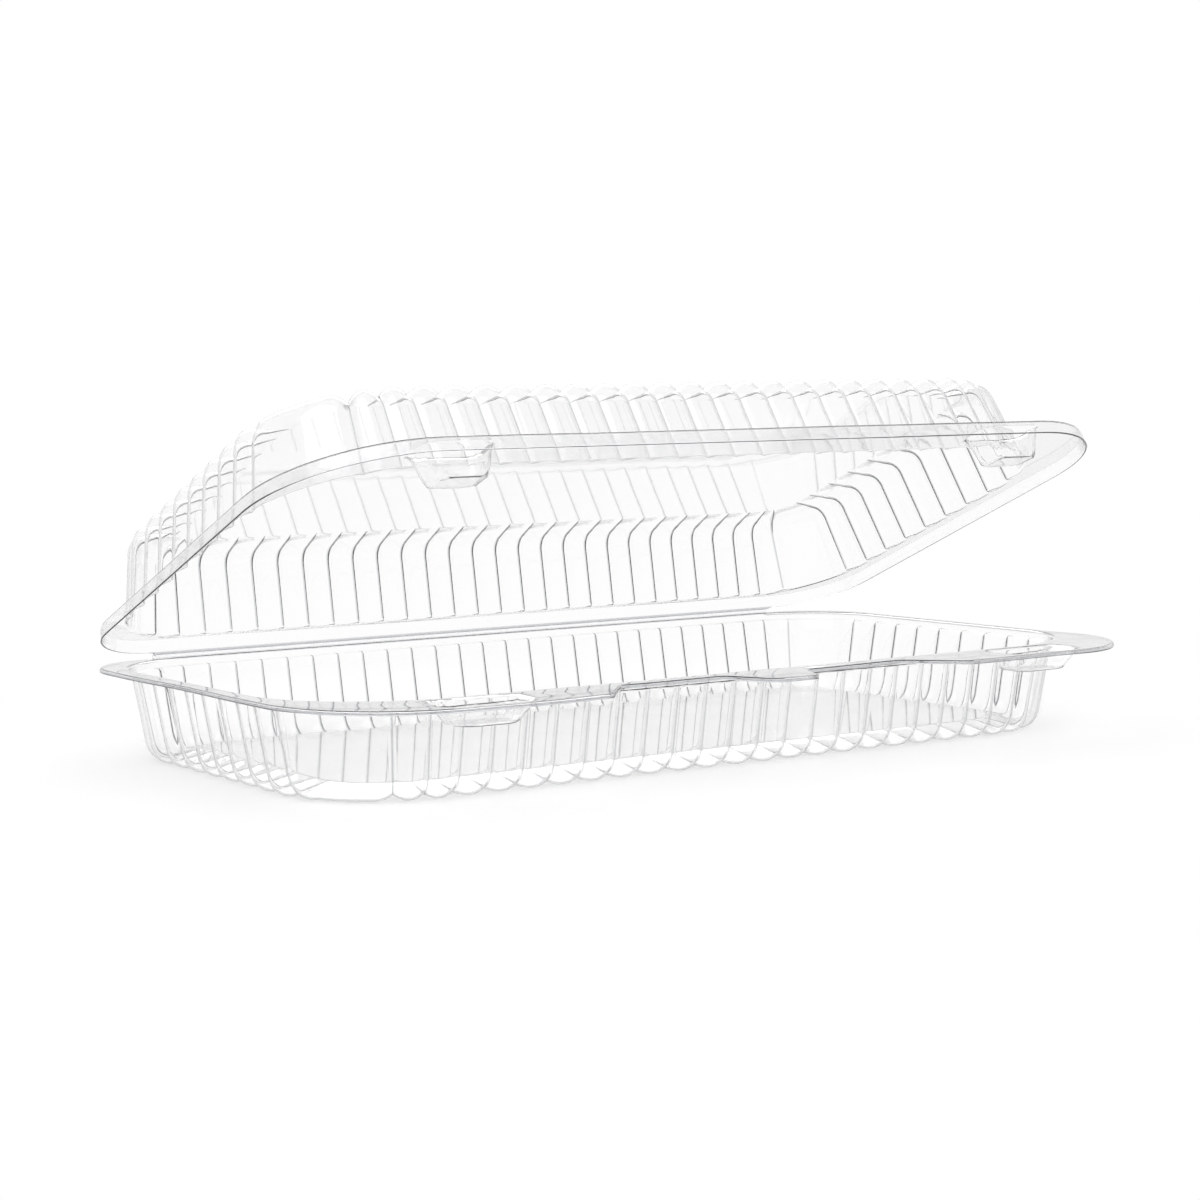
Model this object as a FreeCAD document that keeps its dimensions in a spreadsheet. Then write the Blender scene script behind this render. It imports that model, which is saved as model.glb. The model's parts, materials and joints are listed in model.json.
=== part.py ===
import FreeCAD, Part
import math
import os
from FreeCAD import Rotation, Vector

# Hinged clear plastic clamshell pack: a fluted tray and a fluted dome lid, joined
# along the long back edge, with the lid standing open.
# Millimetres. +X runs along the front edge, +Y towards the hinge, +Z up.
# Both halves are first built with the hinge line along X through the origin:
# the tray with its foot at Z = 0, the lid with the hinge plane at Z = 0.

SIZES = [
    ("wall_length", 302.0, "fluted wall, groove to groove, left to right"),
    ("wall_width", 159.5, "fluted wall, groove to groove, front to back"),
    ("sheet_thickness", 0.45, "formed sheet"),
    ("side_flange", 9.0, "flange beyond the grooves at the two ends"),
    ("front_flange", 26.0, "flange beyond the grooves at the front"),
    ("back_flange", 8.0, "flange between the back grooves and the hinge line"),
    ("flange_front_radius", 46.0, "front corners of both flanges"),
    ("flange_back_radius", 27.5, "back corners of both flanges"),
    ("front_corner", 44.0, "round corners of the walls at the front"),
    ("back_corner", 31.0, "round corners of the walls at the back"),
    ("flute_depth", 1.8, "crest of a flute beyond its grooves"),
    ("front_pitch", 11.0, "flutes along the front"),
    ("back_pitch", 10.1, "flutes along the back"),
    ("end_pitch", 13.0, "flutes along the ends"),
    ("front_plain", 24.5, "plain corner, front groove to the end wall"),
    ("back_plain", 17.0, "plain corner, back groove to the end wall"),
    ("end_front_plain", 33.6, "plain corner, end groove to the front wall"),
    ("end_back_plain", 24.9, "plain corner, end groove to the back wall"),
    ("tray_depth", 31.5, "foot to hinge plane"),
    ("shoulder_drop", 2.9, "plain shoulder between the tray flange and the flutes"),
    ("shoulder_step", 1.0, "shoulder beyond the crests of the flutes"),
    ("tray_draft", 3.6, "lean of the tray wall over its height"),
    ("foot_turn", 6.1, "height over which the flutes turn under into the foot"),
    ("foot_reach", 8.0, "outer edge of the foot, inside the grooves"),
    ("foot_width", 2.4, "flat ring that the tray stands on"),
    ("panel_reach", 19.8, "edge of the floor and top panels, inside the grooves"),
    ("floor_rise", 3.5, "floor panel above the foot"),
    ("hinge_gap", 0.15, "each sheet to the hinge plane"),
    ("hinge_edge", 0.12, "each sheet to the hinge line"),
    ("ledge_rise", 5.3, "lid ledge above the hinge plane"),
    ("web_width", 3.6, "flat web of the lid along the hinge"),
    ("lid_depth", 34.3, "hinge plane to the crests of the lid"),
    ("lid_draft", 4.1, "lean of the lid wall over its height"),
    ("crown_turn", 6.6, "height over which the lid flutes turn into the top"),
    ("crown_reach", 8.2, "crest line of the lid, inside the grooves"),
    ("top_drop", 1.2, "top panel below the crests"),
    ("lock_spacing", 214.0, "centre to centre of the two locks"),
    ("lock_reach", 14.0, "lock centre in front of the front grooves"),
    ("pocket_mouth", 32.0, "lock pocket, length at the flange"),
    ("pocket_floor", 20.5, "lock pocket, length at its floor"),
    ("pocket_mouth_width", 17.0, "lock pocket, width at the flange"),
    ("pocket_floor_width", 12.5, "lock pocket, width at its floor"),
    ("pocket_depth", 6.5, "lock pocket below the tray flange"),
    ("pocket_radius", 5.0, "corners of the lock pocket and the lock block"),
    ("lock_clearance", 0.9, "lock block to its pocket at the floor, each side"),
    ("lock_lean", 3.6, "lean of the lock block over its height, each side"),
    ("tongue_half", 12.0, "half length of the middle tongue of the tray flange"),
    ("notch_end", 55.0, "middle of the pack to the outer end of a finger notch"),
    ("notch_depth", 17.0, "finger notch, cut in from the front edge"),
    ("notch_slope", 14.0, "length of the sloped outer end of a finger notch"),
    ("notch_radius", 4.0, "corners of the notches and of the tongue"),
    ("lip_height", 1.3, "edge of the tray flange turned down"),
    ("open_angle", 21.8, "angle that the lid stands open, degrees"),
]


def make_sheet(doc):
    sheet = doc.addObject("Spreadsheet::Sheet", "sizes")
    for row, (alias, value, note) in enumerate(SIZES, start=1):
        sheet.set("A%d" % row, str(value))
        sheet.setAlias("A%d" % row, alias)
        sheet.set("B%d" % row, note)
    doc.recompute()
    return sheet


class Sizes:
    """Sizes of the sheet by name, and the flute rows that follow from them."""

    def __init__(self, sheet):
        for alias, _value, _note in SIZES:
            setattr(self, alias, float(sheet.get(alias)))
        self.half = self.wall_length / 2.0
        self.back_line = -self.back_flange
        self.front_line = self.back_line - self.wall_width
        self.front_rows = stations(
            -self.half + self.front_plain, self.half - self.front_plain, self.front_pitch)
        self.back_rows = stations(
            -self.half + self.back_plain, self.half - self.back_plain, self.back_pitch)
        self.end_rows = stations(
            self.front_line + self.end_front_plain, self.back_line - self.end_back_plain,
            self.end_pitch)
        self.walls = [
            Wall((0, -1), -self.front_line, -self.half, self.half,
                 self.front_corner, self.front_corner, self.front_rows),
            Wall((1, 0), self.half, self.front_line, self.back_line,
                 self.front_corner, self.back_corner, self.end_rows),
            Wall((0, 1), self.back_line, -self.half, self.half,
                 self.back_corner, self.back_corner, self.back_rows),
            Wall((-1, 0), self.half, -self.back_line, -self.front_line,
                 self.back_corner, self.front_corner, [-y for y in reversed(self.end_rows)]),
        ]
        self.lock_line = self.front_line - self.lock_reach
        self.flange_front = self.front_line - self.front_flange
        self.flange_half = self.half + self.side_flange


def stations(first, last, pitch):
    """Groove positions, evenly spaced as close to the pitch as a whole count allows."""
    count = max(2, int(round((last - first) / pitch)))
    return [first + (last - first) * step / count for step in range(count + 1)]


# Flat curves

def lobe(start, end, bulge):
    """Arc of one flute between two grooves, bulging to the right of its direction."""
    if bulge == 0.0:
        return Part.LineSegment(start, end).toShape()
    along = end - start
    out = Vector(along.y, -along.x, 0).normalize()
    middle = (start + end) * 0.5 + out * bulge
    return Part.Arc(start, middle, end).toShape()


def half_lobe(start, end, groove, crest, out):
    """Half a flute, from a groove to its crest or back, tangent to the wall at the crest."""
    drop = (crest - groove).dot(out)
    side = groove - crest + out * drop
    reach = side.Length
    if drop < 1e-6:
        return Part.LineSegment(start, end).toShape()
    radius = (reach * reach + drop * drop) / (2.0 * drop)
    turn = math.asin(min(1.0, reach / radius)) / 2.0
    centre = crest - out * radius
    side.normalize()
    middle = centre + out * (radius * math.cos(turn)) + side * (radius * math.sin(turn))
    return Part.Arc(start, middle, end).toShape()


class Wall:
    """One side of the rounded rectangle that the grooves lie on, walked anticlockwise."""

    def __init__(self, out, line, low, high, low_radius, high_radius, rows):
        self.out = Vector(out[0], out[1], 0)
        self.along = Vector(-out[1], out[0], 0)
        self.line = line
        self.low, self.high = low, high
        self.low_radius, self.high_radius = low_radius, high_radius
        self.rows = rows
        self.half_pitch = (rows[1] - rows[0]) / 2.0

    def turn(self, place):
        """Angle that the wall has turned at a place along it, where it runs into a round corner."""
        if place > self.high - self.high_radius:
            return math.asin((place - self.high + self.high_radius) / self.high_radius)
        if place < self.low + self.low_radius:
            return -math.asin((self.low + self.low_radius - place) / self.low_radius)
        return 0.0

    def normal(self, turn):
        return self.out * math.cos(turn) + self.along * math.sin(turn)

    def centre(self, turn, place):
        """Centre of the corner that the place lies on, or the same depth behind a straight wall."""
        if turn > 0.0:
            return self.along * (self.high - self.high_radius) + self.out * (self.line - self.high_radius)
        if turn < 0.0:
            return self.along * (self.low + self.low_radius) + self.out * (self.line - self.low_radius)
        return self.along * place + self.out * (self.line - self.high_radius)

    def point(self, place, reach, z):
        """Point of the wall moved in by reach; round corners stay concentric."""
        turn = self.turn(place)
        radius = self.low_radius if turn < 0.0 else self.high_radius
        return self.centre(turn, place) + self.normal(turn) * (radius - reach) + Vector(0, 0, z)


def corner_edges(wall, following, reach, bulge, z):
    """Plain round corner between two fluted walls, with half a flute at each of its ends."""
    start, end = wall.rows[-1], following.rows[0]
    first, last = start + wall.half_pitch, end - following.half_pitch
    start_point, end_point = wall.point(start, reach, z), following.point(end, reach, z)
    first_crest = wall.point(first, reach - bulge, z)
    last_crest = following.point(last, reach - bulge, z)
    first_turn, last_turn = wall.turn(first), following.turn(last)
    radius = wall.high_radius - reach + bulge
    centre = wall.centre(1.0, first) + Vector(0, 0, z)
    edges = [half_lobe(start_point, first_crest, start_point, first_crest, wall.normal(first_turn))]
    bend_start, bend_end = centre + wall.out * radius, centre + following.out * radius
    low, high = 0.0, math.pi / 2.0
    if first_turn > 0.0:
        bend_start, low = first_crest, first_turn
    else:
        edges.append(Part.LineSegment(first_crest, bend_start).toShape())
    if last_turn < 0.0:
        bend_end, high = last_crest, math.pi / 2.0 + last_turn
    middle = centre + wall.normal((low + high) / 2.0) * radius
    edges.append(Part.Arc(bend_start, middle, bend_end).toShape())
    if last_turn >= 0.0:
        edges.append(Part.LineSegment(bend_end, last_crest).toShape())
    edges.append(half_lobe(last_crest, end_point, end_point, last_crest, following.normal(last_turn)))
    return edges


def wall_wire(z, reach, bulge, s):
    """Outline of the walls at height z: fluted, or with no bulge the plain edge of a panel."""
    edges = []
    for wall, following in zip(s.walls, s.walls[1:] + s.walls[:1]):
        points = [wall.point(place, reach, z) for place in wall.rows]
        edges += [lobe(a, b, bulge) for a, b in zip(points, points[1:])]
        edges += corner_edges(wall, following, reach, bulge, z)
    return Part.Wire(edges)


def rounded_face(corners, z=0.0):
    """Face of a polygon whose corners (x, y, radius) are rounded."""
    count = len(corners)
    edges = []
    ends = []
    for index in range(count):
        here = Vector(corners[index][0], corners[index][1], z)
        before = Vector(corners[index - 1][0], corners[index - 1][1], z)
        after = Vector(corners[(index + 1) % count][0], corners[(index + 1) % count][1], z)
        radius = corners[index][2]
        if radius <= 0.0:
            ends.append((here, None, here))
            continue
        back = (before - here).normalize()
        ahead = (after - here).normalize()
        angle = back.getAngle(ahead)
        trim = radius / math.tan(angle / 2.0)
        inward = (back + ahead).normalize()
        middle = here + inward * (radius / math.sin(angle / 2.0) - radius)
        ends.append((here + back * trim, middle, here + ahead * trim))
    for index in range(count):
        first, middle, last = ends[index]
        if middle is not None:
            edges.append(Part.Arc(first, middle, last).toShape())
        following = ends[(index + 1) % count][0]
        if (following - last).Length > 1e-6:
            edges.append(Part.LineSegment(last, following).toShape())
    return Part.Face(Part.Wire(edges))


def rectangle(left, right, front, back, front_radius, back_radius):
    return [(left, front, front_radius), (right, front, front_radius),
            (right, back, back_radius), (left, back, back_radius)]


def offset_profile(points, thickness, top_flat):
    """Inner face of the sheet: the profile of (reach, z) moved into the pack by its thickness."""
    lines = []
    for (r0, z0), (r1, z1) in zip(points, points[1:]):
        length = math.hypot(r1 - r0, z1 - z0)
        along = ((r1 - r0) / length, (z1 - z0) / length)
        normal = (-along[1], along[0]) if top_flat else (along[1], -along[0])
        lines.append(((r0 + normal[0] * thickness, z0 + normal[1] * thickness), along))
    level = points[-1][1] + (thickness if top_flat else -thickness)
    moved = []
    first, along = lines[0]
    moved.append((first[0] + along[0] * (points[0][1] - first[1]) / along[1], points[0][1]))
    for (p, a), (q, b) in zip(lines, lines[1:]):
        cross = a[0] * b[1] - a[1] * b[0]
        reach = ((q[0] - p[0]) * b[1] - (q[1] - p[1]) * b[0]) / cross
        moved.append((p[0] + a[0] * reach, p[1] + a[1] * reach))
    last, along = lines[-1]
    moved.append((last[0] + along[0] * (level - last[1]) / along[1], level))
    return moved


# Document objects

def add_shape(doc, name, shape):
    item = doc.addObject("Part::Feature", name)
    item.Shape = shape
    return item


def add_prism(doc, name, face, height, level):
    """Face at Z = 0 extruded upwards: height and level are expressions on the sheet."""
    outline = add_shape(doc, name + "_outline", face)
    prism = doc.addObject("Part::Extrusion", name)
    prism.Base = outline
    prism.DirMode = "Custom"
    prism.Dir = Vector(0, 0, 1)
    prism.Solid = True
    prism.setExpression("LengthFwd", height)
    prism.setExpression("Placement.Base.z", level)
    return prism


def add_loft(doc, name, wires):
    sections = [add_shape(doc, "%s_section_%d" % (name, number), wire)
                for number, wire in enumerate(wires, start=1)]
    loft = doc.addObject("Part::Loft", name)
    loft.Sections = sections
    loft.Solid = True
    loft.Ruled = True
    loft.Closed = False
    return loft


def add_fuse(doc, name, parts):
    fuse = doc.addObject("Part::MultiFuse", name)
    fuse.Shapes = parts
    return fuse


def add_cut(doc, name, base, tool):
    cut = doc.addObject("Part::Cut", name)
    cut.Base = base
    cut.Tool = tool
    cut.Refine = True
    return cut


def fluted_wires(profile, s):
    """Fluted outlines of the walls at the places of a profile of (reach, z)."""
    return [wall_wire(z, reach, s.flute_depth, s) for reach, z in profile]


def panel_wire(profile, s):
    """Plain outline at the end of a profile, where the flutes run out at a panel."""
    reach, z = profile[-1]
    return wall_wire(z, reach, 0.0, s)


# Tray

def tray_profile(s):
    """Wall, turn, foot ring and fingers of the tray, from the shoulder to the floor panel."""
    return [
        (0.0, s.tray_depth - s.hinge_gap - s.shoulder_drop),
        (s.tray_draft, s.foot_turn),
        (s.foot_reach, 0.0),
        (s.foot_reach + s.foot_width, 0.0),
        (s.panel_reach, s.floor_rise),
    ]


def flange_corners(s):
    """Outline of the tray flange, with two finger notches and a tongue between them."""
    front = s.flange_front
    notch = front + s.notch_depth
    tongue, end, slope = s.tongue_half, s.notch_end, s.notch_slope
    small = s.notch_radius
    return [
        (-s.flange_half, front, s.flange_front_radius),
        (-end - slope, front, small),
        (-end, notch, small),
        (-tongue - small, notch, small),
        (-tongue + small, front, small),
        (tongue - small, front, small),
        (tongue + small, notch, small),
        (end, notch, small),
        (end + slope, front, small),
        (s.flange_half, front, s.flange_front_radius),
        (s.flange_half, -s.hinge_edge, s.flange_back_radius),
        (-s.flange_half, -s.hinge_edge, s.flange_back_radius),
    ]


def lip_tool(s):
    """What the turned-down edge leaves open: the flange outline moved in by one sheet."""
    outline = rounded_face(flange_corners(s))
    inner = outline.makeOffset2D(-s.sheet_thickness)
    back = rounded_face(rectangle(
        -s.flange_half - 1.0, s.flange_half + 1.0,
        s.back_line, 1.0, 0.0, 0.0))
    return inner.fuse(back).removeSplitter().Faces[0]


def shoulder_face(extra, s):
    """Plain rounded outline outside the crests, concentric with the fluted corners."""
    out = s.flute_depth + s.shoulder_step + extra
    return rounded_face(rectangle(
        -s.half - out, s.half + out, s.front_line - out, s.back_line + out,
        s.front_corner + out, s.back_corner + out))


def pocket_face(length, width, radius, centre_x, s, z):
    return rounded_face(rectangle(
        centre_x - length / 2.0, centre_x + length / 2.0,
        s.lock_line - width / 2.0, s.lock_line + width / 2.0, radius, radius), z)


def pocket_loft(doc, name, centre_x, inner, s):
    """Lock pocket as a tapered block, outside or inside of the sheet."""
    shrink = s.sheet_thickness if inner else 0.0
    top = s.tray_depth - s.hinge_gap
    bottom = top - s.pocket_depth + shrink
    slope_x = (s.pocket_mouth - s.pocket_floor) / s.pocket_depth
    slope_y = (s.pocket_mouth_width - s.pocket_floor_width) / s.pocket_depth
    above = 1.0 if inner else -s.sheet_thickness / 2.0
    mouth = pocket_face(s.pocket_mouth - 2 * shrink + slope_x * above,
                        s.pocket_mouth_width - 2 * shrink + slope_y * above,
                        s.pocket_radius - shrink, centre_x, s, top + above)
    floor = pocket_face(s.pocket_floor - 2 * shrink + slope_x * shrink,
                        s.pocket_floor_width - 2 * shrink + slope_y * shrink,
                        s.pocket_radius - shrink, centre_x, s, bottom)
    return add_loft(doc, name, [floor.OuterWire, mouth.OuterWire])


def build_tray(doc, s):
    profile = tray_profile(s)
    inner_profile = offset_profile(profile, s.sheet_thickness, True)
    foot_edge, foot_inside = profile[:-2], profile[-2:-1]
    body = add_loft(doc, "tray_body", fluted_wires(foot_edge, s))
    recess = add_loft(doc, "tray_recess",
                      fluted_wires(foot_inside, s) + [panel_wire(profile, s)])
    hollow = add_loft(doc, "tray_hollow",
                      fluted_wires(inner_profile[:-1], s) + [panel_wire(inner_profile, s)])
    flange = add_prism(doc, "tray_flange", rounded_face(flange_corners(s)),
                       "sizes.sheet_thickness",
                       "sizes.tray_depth - sizes.hinge_gap - sizes.sheet_thickness")
    lip_body = add_prism(doc, "tray_lip_body", rounded_face(flange_corners(s)),
                         "sizes.lip_height",
                         "sizes.tray_depth - sizes.hinge_gap - sizes.lip_height")
    lip_hollow = add_prism(doc, "tray_lip_hollow", lip_tool(s),
                           "sizes.lip_height",
                           "sizes.tray_depth - sizes.hinge_gap - sizes.lip_height")
    lip = doc.addObject("Part::Cut", "tray_lip")
    lip.Base = lip_body
    lip.Tool = lip_hollow
    shoulder = add_prism(doc, "tray_shoulder", shoulder_face(0.0, s),
                         "sizes.shoulder_drop + sizes.sheet_thickness / 2",
                         "sizes.tray_depth - sizes.hinge_gap - sizes.shoulder_drop"
                         " - sizes.sheet_thickness")
    throat = add_prism(doc, "tray_throat", shoulder_face(-s.sheet_thickness, s),
                       "sizes.shoulder_drop + 1",
                       "sizes.tray_depth - sizes.hinge_gap - sizes.shoulder_drop")
    solid_parts = [body, flange, lip, shoulder]
    open_parts = [hollow, throat, recess]
    for name, side in (("left", -1.0), ("right", 1.0)):
        centre_x = side * s.lock_spacing / 2.0
        solid_parts.append(pocket_loft(doc, "pocket_body_" + name, centre_x, False, s))
        open_parts.append(pocket_loft(doc, "pocket_hollow_" + name, centre_x, True, s))
    tray = add_cut(doc, "tray_solid",
                   add_fuse(doc, "tray_outside", solid_parts),
                   add_fuse(doc, "tray_inside", open_parts))
    tray.Label = "base_tray"
    return tray


# Lid, built closed

def lid_profile(s):
    """Wall, turn and fingers of the lid, from the ledge to the top panel."""
    return [
        (0.0, s.ledge_rise - s.sheet_thickness / 2.0),
        (s.lid_draft, s.lid_depth - s.crown_turn),
        (s.crown_reach, s.lid_depth),
        (s.panel_reach, s.lid_depth - s.top_drop),
    ]


def ledge_face(shrink, s):
    """Outline of the raised ledge of the lid; its skirt follows the same line."""
    return rounded_face(rectangle(
        -s.flange_half + shrink, s.flange_half - shrink,
        s.flange_front + shrink, -s.web_width - shrink,
        s.flange_front_radius - shrink, s.flange_back_radius - shrink))


def web_face(s):
    """Flat strip between the back skirt of the lid and the hinge line."""
    reach = s.flange_half - s.flange_back_radius
    return rounded_face(rectangle(
        -reach, reach, -s.web_width - s.sheet_thickness / 2.0, -s.hinge_edge, 0.0, 0.0))


def block_loft(doc, name, centre_x, inner, s):
    """Lock block hanging from the ledge into the tray's pocket."""
    shrink = s.sheet_thickness if inner else 0.0
    foot = -(s.pocket_depth - s.sheet_thickness - s.lock_clearance) + shrink
    top = s.ledge_rise + (1.0 if inner else -s.sheet_thickness / 2.0)
    wall = 2.0 * (s.sheet_thickness + s.lock_clearance + shrink)
    rise = s.ledge_rise + s.pocket_depth
    lean = 2.0 * s.lock_lean * (top - foot) / rise
    low = pocket_face(s.pocket_floor - wall, s.pocket_floor_width - wall,
                      s.pocket_radius - s.lock_clearance - s.sheet_thickness - shrink,
                      centre_x, s, foot)
    high = pocket_face(s.pocket_floor - wall + lean, s.pocket_floor_width - wall + lean / 2.0,
                       s.pocket_radius - s.lock_clearance - s.sheet_thickness - shrink,
                       centre_x, s, top)
    return add_loft(doc, name, [low.OuterWire, high.OuterWire])


def build_lid(doc, s):
    profile = lid_profile(s)
    inner_profile = offset_profile(profile, s.sheet_thickness, False)
    low = s.ledge_rise - s.sheet_thickness - 1.0
    inner_profile[0] = (inner_profile[0][0], low)
    dome = add_loft(doc, "lid_dome",
                    fluted_wires(profile[:-1], s) + [panel_wire(profile, s)])
    hollow = add_loft(doc, "lid_hollow",
                      fluted_wires(inner_profile[:-1], s) + [panel_wire(inner_profile, s)])
    ledge = add_prism(doc, "lid_ledge", ledge_face(0.0, s),
                      "sizes.ledge_rise - sizes.hinge_gap", "sizes.hinge_gap")
    under = add_prism(doc, "lid_under", ledge_face(s.sheet_thickness, s),
                      "sizes.ledge_rise - sizes.hinge_gap - sizes.sheet_thickness + 1",
                      "sizes.hinge_gap - 1")
    web = add_prism(doc, "lid_web", web_face(s), "sizes.sheet_thickness", "sizes.hinge_gap")
    rim = add_cut(doc, "lid_rim", ledge, under)
    solid_parts = [rim, dome, web]
    open_parts = [hollow]
    for name, side in (("left", -1.0), ("right", 1.0)):
        centre_x = side * s.lock_spacing / 2.0
        solid_parts.append(block_loft(doc, "block_body_" + name, centre_x, False, s))
        open_parts.append(block_loft(doc, "block_hollow_" + name, centre_x, True, s))
    lid = add_cut(doc, "lid_solid",
                  add_fuse(doc, "lid_outside", solid_parts),
                  add_fuse(doc, "lid_inside", open_parts))
    lid.Label = "lid"
    return lid


def place(tray, lid, s):
    """Lid turned open about the hinge, and the open pack centred over its foot."""
    turn = Rotation(Vector(1, 0, 0), -s.open_angle)
    lid.Placement = FreeCAD.Placement(Vector(0, 0, s.tray_depth), turn)
    edges = tray.Shape.Edges + lid.Shape.Edges
    reach = [point.y for edge in edges for point in edge.discretize(9)]
    low, high = min(reach), max(reach)
    shift = -(low + high) / 2.0
    tray.Placement = FreeCAD.Placement(Vector(0, shift, 0), Rotation())
    lid.Placement = FreeCAD.Placement(Vector(0, shift, s.tray_depth), turn)
    print("hinge line at y = %.4f mm, z = %.4f mm" % (shift, s.tray_depth))


def check(doc, nodes):
    for item in doc.Objects:
        if "Invalid" in item.State or "Error" in item.State:
            raise RuntimeError("object failed: " + item.Name)
    for node in nodes:
        if node.Shape.isNull() or not node.Shape.isValid():
            raise RuntimeError("bad shape: " + node.Label)
        if len(node.Shape.Solids) != 1:
            raise RuntimeError("%s has %d solids" % (node.Label, len(node.Shape.Solids)))


def main():
    os.makedirs("parts", exist_ok=True)
    doc = FreeCAD.newDocument("clamshell_pack")
    sheet = make_sheet(doc)
    sizes = Sizes(sheet)
    tray = build_tray(doc, sizes)
    lid = build_lid(doc, sizes)
    doc.recompute()
    place(tray, lid, sizes)
    doc.recompute()
    check(doc, [tray, lid])
    for node in (tray, lid):
        box = node.Shape.BoundBox
        print("%s: volume %.1f mm3, %d faces, x %.2f..%.2f, y %.2f..%.2f, z %.2f..%.2f" % (
            node.Label, node.Shape.Volume, len(node.Shape.Faces),
            box.XMin, box.XMax, box.YMin, box.YMax, box.ZMin, box.ZMax))
        node.Shape.exportStep("parts/%s.step" % node.Label)


main()
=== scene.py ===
import json
import math

import bmesh
import bpy
import numpy as np
from mathutils import Matrix, Vector


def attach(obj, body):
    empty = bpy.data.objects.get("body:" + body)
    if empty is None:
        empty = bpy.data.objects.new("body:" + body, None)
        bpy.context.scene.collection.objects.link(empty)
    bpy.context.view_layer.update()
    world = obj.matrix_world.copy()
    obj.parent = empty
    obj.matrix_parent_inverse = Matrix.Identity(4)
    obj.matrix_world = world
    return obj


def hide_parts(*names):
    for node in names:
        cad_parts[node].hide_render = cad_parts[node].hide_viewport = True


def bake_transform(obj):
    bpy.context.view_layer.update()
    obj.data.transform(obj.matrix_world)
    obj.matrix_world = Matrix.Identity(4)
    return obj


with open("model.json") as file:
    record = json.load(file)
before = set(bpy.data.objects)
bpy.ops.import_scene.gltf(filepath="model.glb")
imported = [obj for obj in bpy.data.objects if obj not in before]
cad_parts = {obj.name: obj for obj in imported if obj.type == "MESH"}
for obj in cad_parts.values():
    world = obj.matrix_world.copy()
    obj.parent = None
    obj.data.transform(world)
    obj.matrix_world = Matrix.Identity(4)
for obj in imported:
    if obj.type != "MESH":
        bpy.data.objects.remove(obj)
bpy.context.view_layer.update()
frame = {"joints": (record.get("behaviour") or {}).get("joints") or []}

MM = 0.001

# Sizes of the pack in millimetres, as in the solid model.
WALL_L, WALL_W = 302.0, 159.5
SHEET = 0.45
SIDE_FLANGE, FRONT_FLANGE, BACK_FLANGE = 9.0, 26.0, 8.0
FLUTE = 1.8
FRONT_PITCH, BACK_PITCH, END_PITCH = 11.0, 10.1, 13.0
FRONT_PLAIN, BACK_PLAIN, END_FRONT_PLAIN, END_BACK_PLAIN = 24.5, 17.0, 33.6, 24.9
FRONT_CORNER, BACK_CORNER = 44.0, 31.0
TRAY_DEPTH, SHOULDER_DROP, SHOULDER_STEP = 31.5, 2.9, 1.0
PANEL_REACH, FLOOR_RISE = 19.8, 3.5
GAP, HINGE_EDGE = 0.15, 0.12
LEDGE_RISE, WEB_WIDTH = 5.3, 3.6
LID_DEPTH, TOP_DROP = 34.3, 1.2
FLANGE_FRONT_R, FLANGE_BACK_R = 46.0, 27.5
LOCK_X, LOCK_REACH = 214.0 / 2, 14.0
TONGUE, NOTCH_END, NOTCH_DEPTH, NOTCH_SLOPE, NOTCH_R = 12.0, 55.0, 17.0, 14.0, 4.0
OPEN_ANGLE = 21.8

HALF = WALL_L / 2
BACK = -BACK_FLANGE
FRONT = BACK - WALL_W
EDGE_FRONT = FRONT - FRONT_FLANGE
EDGE_HALF = HALF + SIDE_FLANGE
JOINT = frame["joints"][0]["pos_m"]
HINGE_Y, HINGE_Z = JOINT[1] / MM, JOINT[2] / MM


# Columns: one for each place round the wall.

def stations(first, last, pitch):
    count = max(2, int(round((last - first) / pitch)))
    return [first + (last - first) * k / count for k in range(count + 1)]


# Places across a flute, from one groove (0) to the next (1), and the plain corner's wave and place.
FLUTE_CUTS = (0.0, 0.035, 0.1, 0.2, 0.34, 0.5, 0.66, 0.8, 0.9, 0.965)
MID_FLUTE = (1.0, 0.5)


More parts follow.
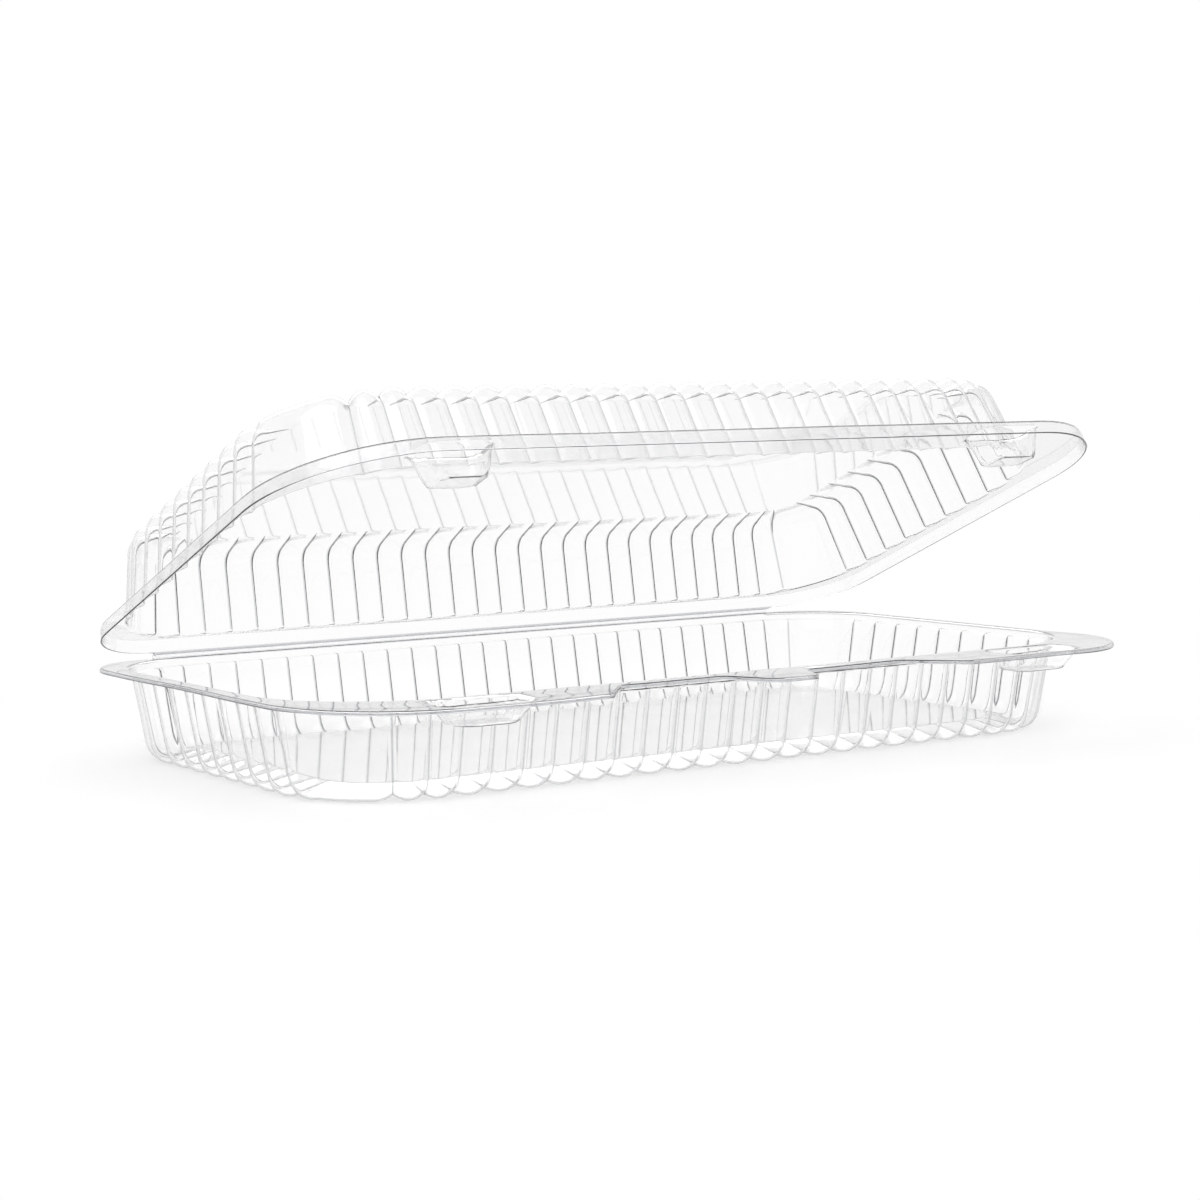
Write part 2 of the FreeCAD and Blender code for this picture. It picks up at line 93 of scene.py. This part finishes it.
class Ring:
    """Columns round the fluted walls: each is a line straight out of the wall, with its place in a flute."""

    def __init__(self):
        front = stations(-HALF + FRONT_PLAIN, HALF - FRONT_PLAIN, FRONT_PITCH)
        back = stations(-HALF + BACK_PLAIN, HALF - BACK_PLAIN, BACK_PITCH)
        end = stations(FRONT + END_FRONT_PLAIN, BACK - END_BACK_PLAIN, END_PITCH)
        walls = [
            ((0, -1), -FRONT, -HALF, HALF, FRONT_CORNER, FRONT_CORNER, front),
            ((1, 0), HALF, FRONT, BACK, FRONT_CORNER, BACK_CORNER, end),
            ((0, 1), BACK, -HALF, HALF, BACK_CORNER, BACK_CORNER, back),
            ((-1, 0), HALF, -BACK, -FRONT, BACK_CORNER, FRONT_CORNER, [-y for y in reversed(end)]),
        ]
        cols = []
        for k, wall in enumerate(walls):
            rows = wall[-1]
            half = (rows[1] - rows[0]) / 2
            for cut in FLUTE_CUTS:
                if cut >= 0.5:
                    cols.append(self.column(wall, rows[0] + (cut - 1) * 2 * half, cut))
            for g in rows[:-1]:
                cols += [self.column(wall, g + cut * 2 * half, cut) for cut in FLUTE_CUTS]
            for cut in FLUTE_CUTS:
                if cut <= 0.5:
                    cols.append(self.column(wall, rows[-1] + cut * 2 * half, cut))
            ahead = walls[(k + 1) % 4]
            half_ahead = (ahead[-1][1] - ahead[-1][0]) / 2
            cols += self.corner(wall, rows[-1] + half, ahead, ahead[-1][0] - half_ahead)
        self.origin = np.array([c[0] for c in cols])
        self.normal = np.array([c[1] for c in cols])
        self.radius = np.array([c[2] for c in cols])
        self.wave = np.array([c[3] for c in cols])
        self.cut = np.array([c[4] for c in cols])
        self.n = len(cols)

    @staticmethod
    def column(wall, place, cut):
        out, along = np.array(wall[0], float), np.array((-wall[0][1], wall[0][0]), float)
        _, line, low, high, r_low, r_high, _ = wall
        wave = 1 - (2 * cut - 1) ** 2
        if place > high - r_high:
            turn, r = math.asin((place - high + r_high) / r_high), r_high
            centre = along * (high - r) + out * (line - r)
        elif place < low + r_low:
            turn, r = -math.asin((low + r_low - place) / r_low), r_low
            centre = along * (low + r) + out * (line - r)
        else:
            turn, r = 0.0, r_high
            centre = along * place + out * (line - r)
        return centre, out * math.cos(turn) + along * math.sin(turn), r, wave, cut

    def corner(self, wall, start, ahead, end, step=2.0):
        out, along = np.array(wall[0], float), np.array((-wall[0][1], wall[0][0]), float)
        _, line, low, high, _, r, _ = wall
        low_turn = math.asin(max(0.0, start - high + r) / r)
        high_turn = math.pi / 2 - math.asin(max(0.0, ahead[2] + r - end) / r)
        centre = along * (high - r) + out * (line - r)
        count = max(4, int((high_turn - low_turn) * r / step))
        cols = []
        for k in range(1, count):
            turn = low_turn + (high_turn - low_turn) * k / count
            cols.append((centre, out * math.cos(turn) + along * math.sin(turn), r, *MID_FLUTE))
        return cols

    def at(self, reach):
        """Points of the outline the given distance, or distances, inside the groove lines."""
        d = self.radius - reach
        return self.origin[:, 0] + self.normal[:, 0] * d, self.origin[:, 1] + self.normal[:, 1] * d

    def cast(self, outline):
        """How far each column has to go out of the wall to meet an outline of points."""
        px, py = self.at(0.0)
        ax, ay = outline[:, 0], outline[:, 1]
        bx, by = np.roll(ax, -1), np.roll(ay, -1)
        dx, dy = bx - ax, by - ay
        best = np.full(self.n, 1e9)
        for i in range(self.n):
            nx, ny = self.normal[i]
            cross = nx * dy - ny * dx
            cross = np.where(abs(cross) < 1e-9, 1e-9, cross)
            t = ((ax - px[i]) * dy - (ay - py[i]) * dx) / cross
            s = ((ax - px[i]) * ny - (ay - py[i]) * nx) / cross
            good = (s >= -1e-6) & (s <= 1 + 1e-6) & (t > 0.1)
            if good.any():
                best[i] = t[good].min()
        return best


RING = Ring()


def rounded(corners, step=0.6):
    """Dense points of a polygon whose corners (x, y, radius) are rounded."""
    pts = []
    n = len(corners)
    for i in range(n):
        here = np.array(corners[i][:2])
        before, after = np.array(corners[i - 1][:2]), np.array(corners[(i + 1) % n][:2])
        r = corners[i][2]
        a = (before - here) / np.linalg.norm(before - here)
        b = (after - here) / np.linalg.norm(after - here)
        if r <= 0:
            pts.append(here)
            continue
        ang = math.acos(np.clip(a @ b, -1, 1))
        trim = r / math.tan(ang / 2)
        p0, p1 = here + a * trim, here + b * trim
        mid = (a + b) / np.linalg.norm(a + b)
        c = here + mid * (r / math.sin(ang / 2))
        a0, a1 = math.atan2(*(p0 - c)[::-1]), math.atan2(*(p1 - c)[::-1])
        d = (a1 - a0 + math.pi) % (2 * math.pi) - math.pi
        k = max(3, int(abs(d) * r / step))
        turns = [a0 + d * j / k for j in range(k + 1)]
        pts += [c + r * np.array((math.cos(turn), math.sin(turn))) for turn in turns]
    return np.array(pts)


def tray_outline():
    front, notch = EDGE_FRONT, EDGE_FRONT + NOTCH_DEPTH
    s = NOTCH_R
    return rounded([
        (-EDGE_HALF, front, FLANGE_FRONT_R), (-NOTCH_END - NOTCH_SLOPE, front, s), (-NOTCH_END, notch, s),
        (-TONGUE - s, notch, s), (-TONGUE + s, front, s), (TONGUE - s, front, s), (TONGUE + s, notch, s),
        (NOTCH_END, notch, s), (NOTCH_END + NOTCH_SLOPE, front, s), (EDGE_HALF, front, FLANGE_FRONT_R),
        (EDGE_HALF, -HINGE_EDGE, FLANGE_BACK_R), (-EDGE_HALF, -HINGE_EDGE, FLANGE_BACK_R)])


def lid_outline(shrink):
    return rounded([
        (-EDGE_HALF + shrink, EDGE_FRONT + shrink, FLANGE_FRONT_R - shrink),
        (EDGE_HALF - shrink, EDGE_FRONT + shrink, FLANGE_FRONT_R - shrink),
        (EDGE_HALF - shrink, -WEB_WIDTH - shrink, FLANGE_BACK_R - shrink),
        (-EDGE_HALF + shrink, -WEB_WIDTH - shrink, FLANGE_BACK_R - shrink)])


# Rows: the section of the sheet, from the middle of the panel to the free edge.

def smooth(t):
    t = np.clip(t, 0, 1)
    return t * t * (3 - 2 * t)


def section(points, turn_steps, wall_steps):
    """Section of a flute as (reach, z): a finger, a round turn with its control point, and the wall."""
    edge, heel, control, knee, rim = (np.array(p, float) for p in points)
    path = [edge + (heel - edge) * k / 4 for k in range(4)]
    for k in range(turn_steps):
        t = k / turn_steps
        path.append(heel * (1 - t) ** 2 + 2 * control * t * (1 - t) + knee * t * t)
    path += [knee + (rim - knee) * k / wall_steps for k in range(wall_steps + 1)]
    return np.array(path)


def fluted_rows(groove, crest):
    """Rows of the fluted zone, each place between its groove line and its crest line."""
    rows = []
    for g, c in zip(groove, crest):
        x, y = RING.at(g[0] + (c[0] - g[0]) * RING.wave)
        rows.append(np.column_stack((x, y, g[1] + (c[1] - g[1]) * RING.wave)))
    return rows


def level_row(reach, z):
    x, y = RING.at(reach)
    return np.column_stack((x, y, np.broadcast_to(z, RING.n)))


PANEL_RUNS = (4.0, 1.6, 0.5)
PANEL_ROWS = len(PANEL_RUNS) + 1
TURN_STEPS, WALL_STEPS, FLANGE_ROWS = 8, 4, 34


def panel_rows(z):
    """Level rows just inside the edge of a panel, which keep its shading flat."""
    return [level_row(PANEL_REACH + run, z) for run in PANEL_RUNS]


DEPTH_STEPS, DEPTH_HALF_STEP = 40, 0.012


def level_depth(x, y, cx, cy, mouth, floor, radius, depth, round_off=0.16):
    """Depth at (x, y) of a tapered pocket with rounded corners, from its mouth (0) to its floor."""
    best = np.zeros_like(x)
    for tau in np.linspace(0, 1, DEPTH_STEPS + 1):
        hx = (mouth[0] + (floor[0] - mouth[0]) * tau) / 2
        hy = (mouth[1] + (floor[1] - mouth[1]) * tau) / 2
        qx = np.maximum(abs(x - cx) - (hx - radius), 0)
        qy = np.maximum(abs(y - cy) - (hy - radius), 0)
        inside = qx * qx + qy * qy <= radius * radius
        best = np.where(inside, np.maximum(best, tau + DEPTH_HALF_STEP), best)
    best = np.clip(best, 0, 1)
    # soften the rim and the foot of the slope
    k = round_off
    top = best * best / (2 * k)
    foot = 1 - k - (1 - best) ** 2 / (2 * k)
    best = np.where(best < k, top, np.where(best > 1 - k, foot, best - k / 2)) / (1 - k)
    return depth * np.clip(best, 0, 1)


# Width of the painted shade along a groove as a share of a flute, and the rows of the free edge that get the
# same painted shade.
FOLD_WIDTH = 0.035
EDGE_ROWS = 3


def mesh_from_rows(name, rows, wall_rows, dome):
    """Sheet through rows of points, all round, facing out; the first row is closed by the flat panel.

    The attribute "formed" is 0 on the flat panel and 1 on the walls and flanges, and the fold attribute is 1
    along the grooves and the free edge, where the sheet is bent tightly or cut; it marks where the sheet gets
    painted shade.
    """
    n = RING.n
    verts = np.concatenate(rows) * MM
    faces = [tuple(range(n))] if dome else [tuple(reversed(range(n)))]
    for r in range(len(rows) - 1):
        a = r * n
        for i in range(n):
            face = (a + i, a + (i + 1) % n, a + n + (i + 1) % n, a + n + i)
            faces.append(face[::-1] if dome else face)
    mesh = bpy.data.meshes.new(name)
    mesh.from_pydata([tuple(v) for v in verts], [], faces)
    formed = mesh.attributes.new("formed", "FLOAT", "POINT")
    on_wall = [0.0 if r < PANEL_ROWS else 1.0 for r in range(len(rows))]
    formed.data.foreach_set("value", np.repeat(on_wall, n))
    # painted shade along the grooves of the walls and along the free edge, where the sheet bends tightly or is
    # cut
    near_groove = np.clip(1 - np.minimum(RING.cut, 1 - RING.cut) / FOLD_WIDTH, 0, 1)
    fold_shade_mask = mesh.attributes.new("fold_shade_mask", "FLOAT", "POINT")
    fold_shade_rows = [near_groove * 0 for _ in rows]
    first_wall = PANEL_ROWS - 1
    fold_shade_rows[first_wall:first_wall + wall_rows] = [near_groove] * wall_rows
    fold_shade_rows[-EDGE_ROWS:] = [near_groove * 0 + 1] * EDGE_ROWS
    fold_shade_mask.data.foreach_set("value", np.concatenate(fold_shade_rows))
    bm = bmesh.new()
    bm.from_mesh(mesh)
    bmesh.ops.remove_doubles(bm, verts=bm.verts, dist=1e-6)
    bm.to_mesh(mesh)
    bm.free()
    obj = bpy.data.objects.new(name, mesh)
    bpy.context.scene.collection.objects.link(obj)
    return obj


def thicken(obj, thickness, offset):
    mod = obj.modifiers.new("sheet", "SOLIDIFY")
    mod.thickness = thickness * MM
    mod.offset = offset
    mod.use_rim = True
    mod.use_even_offset = False
    dg = bpy.context.evaluated_depsgraph_get()
    mesh = bpy.data.meshes.new_from_object(obj.evaluated_get(dg))
    obj.modifiers.clear()
    old = obj.data
    obj.data = mesh
    bpy.data.meshes.remove(old)
    for p in mesh.polygons:
        p.use_smooth = True
    return obj


def warp(x, y, amount):
    """Slight waviness of a free flange."""
    return amount * (0.5 * np.sin(x * 0.045 + 0.4) + 0.3 * np.sin(x * 0.11 + y * 0.05 + 2.0)
                     + 0.2 * np.sin(y * 0.09))


# Lock pockets of the tray and blocks of the lid: mouth, floor, corner radius and depth.
POCKET = ((32.0, 17.0), (20.5, 12.5), 5.0, 6.05)
BLOCK = ((24.2, 13.0), (17.8, 9.8), 3.6, 10.0)
TRAY_LIP, LID_LIP = 0.66, 0.9


def build_tray():
    rim = TRAY_DEPTH - GAP - SHOULDER_DROP
    under = TRAY_DEPTH - GAP - SHEET
    groove = section([(PANEL_REACH, FLOOR_RISE), (9.9, 1.5), (5.0, 2.2), (3.85, 7.6), (0.1, rim - 0.9)],
                     TURN_STEPS, WALL_STEPS)
    crest = section([(PANEL_REACH, FLOOR_RISE), (9.2, 0.0), (3.0, 0.0), (1.9, 6.6), (-FLUTE, rim - 0.6)],
                    TURN_STEPS, WALL_STEPS)
    rows = panel_rows(FLOOR_RISE) + fluted_rows(groove, crest)
    step = FLUTE + SHOULDER_STEP
    x, y = RING.at(-FLUTE * RING.wave - 0.45)
    rows.append(np.column_stack((x, y, np.full(RING.n, rim - 0.1))))
    rows += [level_row(-step + 0.25, rim), level_row(-step, rim + 0.3), level_row(-step - 0.05, under - 0.5),
             level_row(-step - 0.2, under - 0.15), level_row(-step - 0.55, under)]
    start = -rows_reach(rows[-1])
    length = RING.cast(tray_outline()) - start
    at_back = RING.at(0.0)[1] > BACK - 1.0
    for t in np.linspace(0, 1, FLANGE_ROWS + 1)[1:]:
        x, y = RING.at(-(start + t * (length - TRAY_LIP)))
        z = np.full(RING.n, under)
        for cx in (-LOCK_X, LOCK_X):
            z = z - level_depth(x, y, cx, FRONT - LOCK_REACH, *POCKET)
        z = z - np.where(at_back, 0.0, (0.2 + warp(x, y, 0.3)) * smooth(t * 1.2 - 0.2))
        rows.append(np.column_stack((x, y, z)))
    last = rows[-1][:, 2]
    for run, down in ((0.07, 0.1), (0.13, 0.35), (0.15, 0.85)):
        x, y = RING.at(-(start + length - TRAY_LIP + run))
        rows.append(np.column_stack((x, y, last - np.where(at_back, 0.0, down))))
    return mesh_from_rows("tray_shell", rows, len(groove), False)


def rows_reach(row):
    """How far each point of a row lies inside the groove lines."""
    return RING.radius - ((row[:, :2] - RING.origin) * RING.normal).sum(axis=1)


def build_lid():
    panel = LID_DEPTH - TOP_DROP
    groove = section([(PANEL_REACH, panel), (11.6, panel - 1.9), (5.0, panel - 2.3), (4.4, 25.0),
                      (0.1, LEDGE_RISE + 0.8)], TURN_STEPS, WALL_STEPS)
    crest = section([(PANEL_REACH - 1.2, panel), (10.4, LID_DEPTH), (3.4, LID_DEPTH + 0.1), (2.65, 27.0),
                     (-FLUTE, LEDGE_RISE + 0.5)], TURN_STEPS, WALL_STEPS)
    rows = panel_rows(panel) + fluted_rows(groove, crest)
    for run, rise in ((0.1, 0.2), (0.4, 0.02)):
        x, y = RING.at(-FLUTE * RING.wave - run)
        rows.append(np.column_stack((x, y, np.full(RING.n, LEDGE_RISE + rise))))
    rows.append(level_row(-FLUTE - 0.75, LEDGE_RISE))
    start = -rows_reach(rows[-1])
    length = RING.cast(lid_outline(LID_LIP)) - start
    for t in np.linspace(0, 1, FLANGE_ROWS + 1)[1:]:
        x, y = RING.at(-(start + t * (length - 0.35)))
        z = np.full(RING.n, LEDGE_RISE)
        for cx in (-LOCK_X, LOCK_X):
            z = z - level_depth(x, y, cx, FRONT - LOCK_REACH, *BLOCK)
        z = z + (warp(x, y, 0.1) - 0.1) * smooth(t * 1.2 - 0.2)
        rows.append(np.column_stack((x, y, z)))
    last = rows[-1][:, 2]
    bottom = GAP + SHEET
    for run, part in ((-0.1, 0.985), (0.1, 0.92), (0.25, 0.8), (0.5, 0.4), (0.72, 0.06), (0.88, 0.0)):
        x, y = RING.at(-(start + length + run))
        rows.append(np.column_stack((x, y, bottom + (last - bottom) * part)))
    edge = rows[-1]
    on_web = edge[:, 1] > -WEB_WIDTH - 0.06
    for t in (0.5, 1.0):
        y = np.where(on_web, edge[:, 1] + (-HINGE_EDGE - edge[:, 1]) * t, edge[:, 1])
        rows.append(np.column_stack((edge[:, 0], y, edge[:, 2])))
    return mesh_from_rows("lid_shell", rows, len(groove), True)


def build_hinge_film():
    """Thin creased film over the gap between the two halves, in the frame of the pack."""
    half = EDGE_HALF - FLANGE_BACK_R - 1.0
    lap, film = 0.7, 0.2
    turn = math.radians(OPEN_ANGLE)
    tray_top = TRAY_DEPTH - GAP
    web = GAP + SHEET
    section_points = [(-lap, tray_top - SHEET + 0.02), (-lap, tray_top - 0.02), (-HINGE_EDGE, tray_top - 0.02)]
    lid_points = [(-HINGE_EDGE, GAP + 0.02), (-lap, GAP + 0.02), (-lap, web - 0.02), (-HINGE_EDGE, web - 0.02)]
    for d, h in lid_points:
        section_points.append((d * math.cos(turn) + h * math.sin(turn),
                               TRAY_DEPTH - d * math.sin(turn) + h * math.cos(turn)))
    section_points.append((film * 0.4, TRAY_DEPTH))
    section_points.append((-HINGE_EDGE, tray_top - SHEET + 0.02))
    count = 120
    verts, faces = [], []
    n = len(section_points)
    for k in range(count + 1):
        x = -half + 2 * half * k / count
        verts += [(x * MM, (HINGE_Y + y) * MM, z * MM) for y, z in section_points]
    for k in range(count):
        for j in range(n):
            faces.append((k * n + j, k * n + (j + 1) % n, (k + 1) * n + (j + 1) % n, (k + 1) * n + j))
    faces += [tuple(reversed(range(n))), tuple(count * n + j for j in range(n))]
    mesh = bpy.data.meshes.new("hinge_film")
    mesh.from_pydata(verts, [], faces)
    bm = bmesh.new()
    bm.from_mesh(mesh)
    bmesh.ops.recalc_face_normals(bm, faces=bm.faces)
    bm.to_mesh(mesh)
    bm.free()
    obj = bpy.data.objects.new("hinge_film", mesh)
    bpy.context.scene.collection.objects.link(obj)
    return obj


def to_frame(obj, open_lid):
    """From the closed half's own axes, hinge line at the origin, to the frame of the pack."""
    if open_lid:
        turn = Matrix.Rotation(-math.radians(OPEN_ANGLE), 4, "X")
        m = Matrix.Translation((0, HINGE_Y * MM, HINGE_Z * MM)) @ turn
    else:
        m = Matrix.Translation((0, HINGE_Y * MM, 0))
    obj.data.transform(m)


# Materials

# Weak glow of the floor as it is seen, and the distances from the centre, in metres, over which it turns white.
FLOOR_LIFT = 0.10
FADE_START, FADE_END = 0.19, 0.30
FLOOR_HALF = 6.0
# Painted shade: the grey laid on the clear sheet where it is seen edge-on, and a lighter grey along the grooves
# and the free edge.
EDGE_ON_SHADE, FOLD_SHADE = (0.40, 0.41, 0.43, 1), (0.60, 0.61, 0.63, 1)


def new_material(name):
    m = bpy.data.materials.new(name)
    m.use_nodes = True
    m.node_tree.nodes.clear()
    return m, m.node_tree.nodes, m.node_tree.links


def clear_plastic(name):
    """Clear sheet with painted shade, darker where it is seen along its surface and along the drawn folds and
    edges.
    """
    m, nodes, links = new_material(name)
    out = nodes.new("ShaderNodeOutputMaterial")
    bsdf = nodes.new("ShaderNodeBsdfPrincipled")
    slope = nodes.new("ShaderNodeLayerWeight")
    slope.inputs["Blend"].default_value = 0.5
    # painted shade: the sheet turns grey as it is seen more edge-on, on the walls and flanges only
    edge_on_shade = nodes.new("ShaderNodeValToRGB")
    first, last = edge_on_shade.color_ramp.elements
    first.position, first.color = 0.62, (1.0, 1.0, 1.0, 1)
    last.position, last.color = 0.98, EDGE_ON_SHADE
    formed = nodes.new("ShaderNodeAttribute")
    formed.attribute_name = "formed"
    walls_only = nodes.new("ShaderNodeMath")
    walls_only.operation = "MULTIPLY"
    links.new(slope.outputs["Facing"], walls_only.inputs[0])
    links.new(formed.outputs["Fac"], walls_only.inputs[1])
    links.new(walls_only.outputs[0], edge_on_shade.inputs["Fac"])
    fold_shade_mask = nodes.new("ShaderNodeAttribute")
    fold_shade_mask.attribute_name = "fold_shade_mask"
    # painted shade: a lighter grey laid along the grooves and the free edge
    fold_shade_mix = nodes.new("ShaderNodeMix")
    fold_shade_mix.data_type = "RGBA"
    links.new(fold_shade_mask.outputs["Fac"], fold_shade_mix.inputs[0])
    links.new(edge_on_shade.outputs["Color"], fold_shade_mix.inputs[6])
    fold_shade_mix.inputs[7].default_value = FOLD_SHADE
    links.new(fold_shade_mix.outputs[2], bsdf.inputs["Base Color"])
    bsdf.inputs["Transmission Weight"].default_value = 1.0
    bsdf.inputs["IOR"].default_value = 1.5
    coords = nodes.new("ShaderNodeTexCoord")
    noise = nodes.new("ShaderNodeTexNoise")
    noise.inputs["Scale"].default_value = 35.0
    noise.inputs["Detail"].default_value = 3.0
    links.new(coords.outputs["Object"], noise.inputs["Vector"])
    ramp = nodes.new("ShaderNodeMapRange")
    ramp.inputs["To Min"].default_value = 0.01
    ramp.inputs["To Max"].default_value = 0.04
    links.new(noise.outputs["Fac"], ramp.inputs["Value"])
    links.new(ramp.outputs["Result"], bsdf.inputs["Roughness"])
    bump = nodes.new("ShaderNodeBump")
    bump.inputs["Strength"].default_value = 0.02
    bump.inputs["Distance"].default_value = 0.002
    links.new(noise.outputs["Fac"], bump.inputs["Height"])
    links.new(bump.outputs["Normal"], bsdf.inputs["Normal"])
    # light passes on to what lies behind and below
    path = nodes.new("ShaderNodeLightPath")
    clear = nodes.new("ShaderNodeBsdfTransparent")
    clear.inputs["Color"].default_value = (0.965, 0.965, 0.965, 1)
    mix = nodes.new("ShaderNodeMixShader")
    links.new(path.outputs["Is Shadow Ray"], mix.inputs["Fac"])
    links.new(bsdf.outputs["BSDF"], mix.inputs[1])
    links.new(clear.outputs["BSDF"], mix.inputs[2])
    links.new(mix.outputs["Shader"], out.inputs["Surface"])
    absorb = nodes.new("ShaderNodeVolumeAbsorption")
    absorb.inputs["Color"].default_value = (0.45, 0.45, 0.46, 1)
    absorb.inputs["Density"].default_value = 60.0
    links.new(absorb.outputs["Volume"], out.inputs["Volume"])
    return m


def seen_ray(nodes, links):
    """1 for rays that look at the stage, straight or through the plastic, and 0 for its light."""
    path = nodes.new("ShaderNodeLightPath")
    seen = path.outputs["Is Camera Ray"]
    for kind in ("Is Transmission Ray", "Is Glossy Ray"):
        either = nodes.new("ShaderNodeMath")
        either.operation = "MAXIMUM"
        links.new(seen, either.inputs[0])
        links.new(path.outputs[kind], either.inputs[1])
        seen = either.outputs[0]
    return seen


def floor_white(name):
    """Pale floor with the shadow of the pack on it, fading to plain white away from the centre."""
    m, nodes, links = new_material(name)
    out = nodes.new("ShaderNodeOutputMaterial")
    lit = nodes.new("ShaderNodeBsdfDiffuse")
    lit.inputs["Color"].default_value = (0.94, 0.94, 0.94, 1)
    lift = nodes.new("ShaderNodeEmission")
    lift.inputs["Strength"].default_value = FLOOR_LIFT
    both = nodes.new("ShaderNodeAddShader")
    links.new(lit.outputs[0], both.inputs[0])
    links.new(lift.outputs[0], both.inputs[1])
    white = nodes.new("ShaderNodeEmission")
    white.inputs["Strength"].default_value = 1.0
    coords = nodes.new("ShaderNodeTexCoord")
    length = nodes.new("ShaderNodeVectorMath")
    length.operation = "LENGTH"
    links.new(coords.outputs["Object"], length.inputs[0])
    far = nodes.new("ShaderNodeMapRange")
    far.interpolation_type = "SMOOTHSTEP"
    far.inputs["From Min"].default_value = FADE_START
    far.inputs["From Max"].default_value = FADE_END
    links.new(length.outputs["Value"], far.inputs["Value"])
    near_or_far = nodes.new("ShaderNodeMixShader")
    links.new(far.outputs["Result"], near_or_far.inputs["Fac"])
    links.new(both.outputs[0], near_or_far.inputs[1])
    links.new(white.outputs[0], near_or_far.inputs[2])
    look = nodes.new("ShaderNodeMixShader")
    links.new(seen_ray(nodes, links), look.inputs["Fac"])
    links.new(lit.outputs[0], look.inputs[1])
    links.new(near_or_far.outputs[0], look.inputs[2])
    links.new(look.outputs[0], out.inputs["Surface"])
    return m


def build_stage():
    mesh = bpy.data.meshes.new("floor")
    s = FLOOR_HALF
    mesh.from_pydata([(-s, -s, 0), (s, -s, 0), (s, s, 0), (-s, s, 0)], [], [(0, 1, 2, 3)])
    floor = bpy.data.objects.new("floor", mesh)
    bpy.context.scene.collection.objects.link(floor)
    floor.data.materials.append(floor_white("floor_white"))
    world = bpy.data.worlds.new("studio")
    bpy.context.scene.world = world
    world.use_nodes = True
    nodes, links = world.node_tree.nodes, world.node_tree.links
    nodes.clear()
    out = nodes.new("ShaderNodeOutputWorld")
    light = nodes.new("ShaderNodeBackground")
    light.inputs["Color"].default_value = (1, 1, 1, 1)
    light.inputs["Strength"].default_value = 0.75
    seen = nodes.new("ShaderNodeBackground")
    seen.inputs["Color"].default_value = (1, 1, 1, 1)
    seen.inputs["Strength"].default_value = 1.0
    mix = nodes.new("ShaderNodeMixShader")
    links.new(seen_ray(nodes, links), mix.inputs["Fac"])
    links.new(light.outputs[0], mix.inputs[1])
    links.new(seen.outputs[0], mix.inputs[2])
    links.new(mix.outputs[0], out.inputs["Surface"])


def area(name, loc, target, size, power):
    data = bpy.data.lights.new(name, "AREA")
    data.shape = "RECTANGLE"
    data.size, data.size_y = size
    data.energy = power
    obj = bpy.data.objects.new(name, data)
    obj.location = loc
    d = Vector(target) - Vector(loc)
    obj.rotation_euler = d.to_track_quat("-Z", "Y").to_euler()
    bpy.context.scene.collection.objects.link(obj)
    return obj


def build_camera():
    """The photo's camera: its place from the foot of the hinge line, and its focal length in pixels."""
    place = (-476.4, -814.4, 118.9)
    yaw, pitch, roll = 0.576, -0.0805, -0.0172
    focal_px, photo_px, sensor = 2541.6, 1200, 36.0
    pos = Vector((place[0], place[1] + HINGE_Y, place[2])) * MM
    fwd = Vector((math.sin(yaw) * math.cos(pitch), math.cos(yaw) * math.cos(pitch), math.sin(pitch)))
    right = Vector((math.cos(yaw), -math.sin(yaw), 0))
    up = right.cross(fwd)
    r2 = right * math.cos(roll) + up * math.sin(roll)
    u2 = -right * math.sin(roll) + up * math.cos(roll)
    rot = Matrix((r2, u2, -fwd)).transposed().to_4x4()
    data = bpy.data.cameras.new("photo_camera")
    data.sensor_width = sensor
    data.lens = focal_px / photo_px * sensor
    data.clip_start = 0.01
    cam = bpy.data.objects.new("photo_camera", data)
    cam.matrix_world = Matrix.Translation(pos) @ rot
    bpy.context.scene.collection.objects.link(cam)
    bpy.context.scene.camera = cam


tray = build_tray()
thicken(tray, SHEET, -1.0)
to_frame(tray, False)
lid = build_lid()
thicken(lid, SHEET, -1.0)
to_frame(lid, True)
plastic = clear_plastic("clear_sheet")
for obj, body, node, slot in ((tray, "tray", "base_tray", "clear_tray"),
                              (lid, "lid", "lid", "clear_lid")):
    obj.data.materials.clear()
    obj.data.materials.append(plastic)
    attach(obj, body)
    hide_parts(node)

film = build_hinge_film()
film.data.materials.append(plastic)
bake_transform(film)

build_stage()
build_camera()
area("key", (-0.9, -0.5, 1.3), (0, 0, 0.05), (1.2, 1.2), 6)
area("back", (0.5, 1.3, 1.1), (0, 0, 0.05), (1.6, 1.0), 6)
scene = bpy.context.scene
scene.view_settings.view_transform = "Standard"
scene.cycles.max_bounces = 32
scene.cycles.transmission_bounces = 32
scene.cycles.transparent_max_bounces = 48
